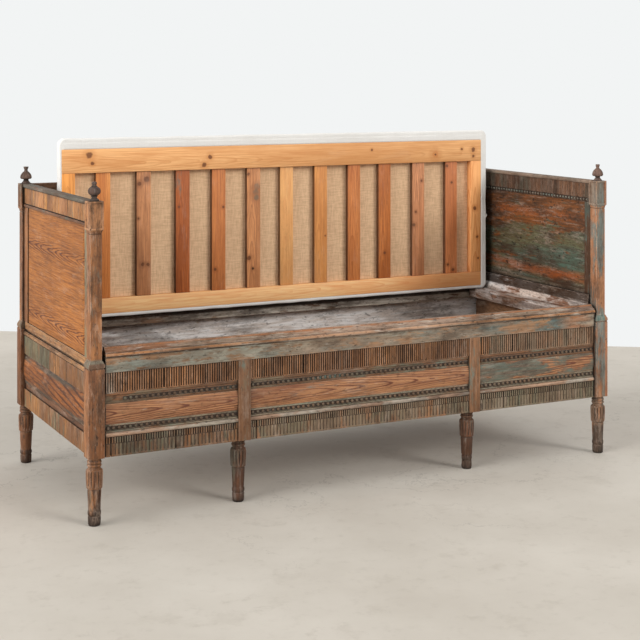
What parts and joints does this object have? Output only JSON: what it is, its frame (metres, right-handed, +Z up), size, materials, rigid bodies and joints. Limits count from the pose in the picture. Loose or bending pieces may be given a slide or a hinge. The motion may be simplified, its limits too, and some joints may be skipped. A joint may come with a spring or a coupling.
{
  "type": "pull-out bench bed",
  "caption": "Gustavian bench bed in old pine: fixed ends and back, a front section that slides out on its own legs, and a slatted, padded lid over the box.",
  "frame": {"origin": "on the floor, under the centre of the four corner posts", "axes": "+X along the bench, to the right seen from the front; +Y to the back; +Z up"},
  "size_m": [1.8742, 0.8142, 1.1063],
  "materials": {
    "worn_paint": "worn blue-green paint over pine",
    "bare_pine": "bare old pine with traces of paint",
    "old_box_pine": "rubbed whitewash over rough pine",
    "lid_pine": "oiled pine",
    "hessian": "plain woven hessian",
    "linen": "off-white woven linen"
  },
  "bodies": {
    "frame": {"back_bearer": "old_box_pine", "back_left_post": "worn_paint", "back_lower_board": "old_box_pine", "back_panel_boards": "old_box_pine", "back_right_post": "worn_paint", "back_seat_ledge": "old_box_pine", "back_top_rail": "old_box_pine", "corner_finials": "worn_paint", "end_stiles": "bare_pine", "fixed_bed_slats": "old_box_pine", "front_left_post": "worn_paint", "front_right_post": "worn_paint", "left_end_panel": "bare_pine", "left_runner": "old_box_pine", "left_seat_ledge": "old_box_pine", "left_seat_rail": "bare_pine", "left_side_board": "bare_pine", "left_side_lower_strip": "bare_pine", "left_side_panel": "bare_pine", "left_side_upper_strip": "bare_pine", "left_top_rail": "bare_pine", "middle_bearer": "old_box_pine", "right_end_panel": "bare_pine", "right_runner": "old_box_pine", "right_seat_ledge": "old_box_pine", "right_seat_rail": "bare_pine", "right_side_board": "bare_pine", "right_side_lower_strip": "bare_pine", "right_side_panel": "bare_pine", "right_side_upper_strip": "bare_pine", "right_top_rail": "bare_pine"},
    "pull_out": {"front_board": "worn_paint", "front_frieze": "worn_paint", "lip_rail": "worn_paint", "upper_reeded_strips": "worn_paint", "lower_reeded_strips": "worn_paint", "half_round_mouldings": "worn_paint", "upper_bead_mouldings": "worn_paint", "lower_bead_mouldings": "worn_paint", "left_front_panel": "worn_paint", "middle_front_panel": "worn_paint", "right_front_panel": "worn_paint", "left_front_stile": "worn_paint", "right_front_stile": "worn_paint", "left_middle_leg": "worn_paint", "right_middle_leg": "worn_paint", "left_sliding_side": "old_box_pine", "right_sliding_side": "old_box_pine", "front_bearer": "old_box_pine", "sliding_bed_slats": "old_box_pine", "slat_stop": "old_box_pine"},
    "seat_lid": {"lid_burlap": "hessian", "lid_cushion": "linen", "lid_far_rail": "lid_pine", "lid_left_rail": "lid_pine", "lid_near_rail": "lid_pine", "lid_right_rail": "lid_pine", "lid_slats": "lid_pine"}
  },
  "joints": [
    {"name": "pull_out_slide", "type": "slide", "parent": "frame", "child": "pull_out", "axis": [0, -1, 0], "range_m": [0, 0.55]},
    {"name": "lid_turn", "type": "hinge", "parent": "frame", "child": "seat_lid", "pos_m": [0, 0.254, 0.4933], "axis": [1, 0, 0], "range_deg": [0, 90]}
  ]
}
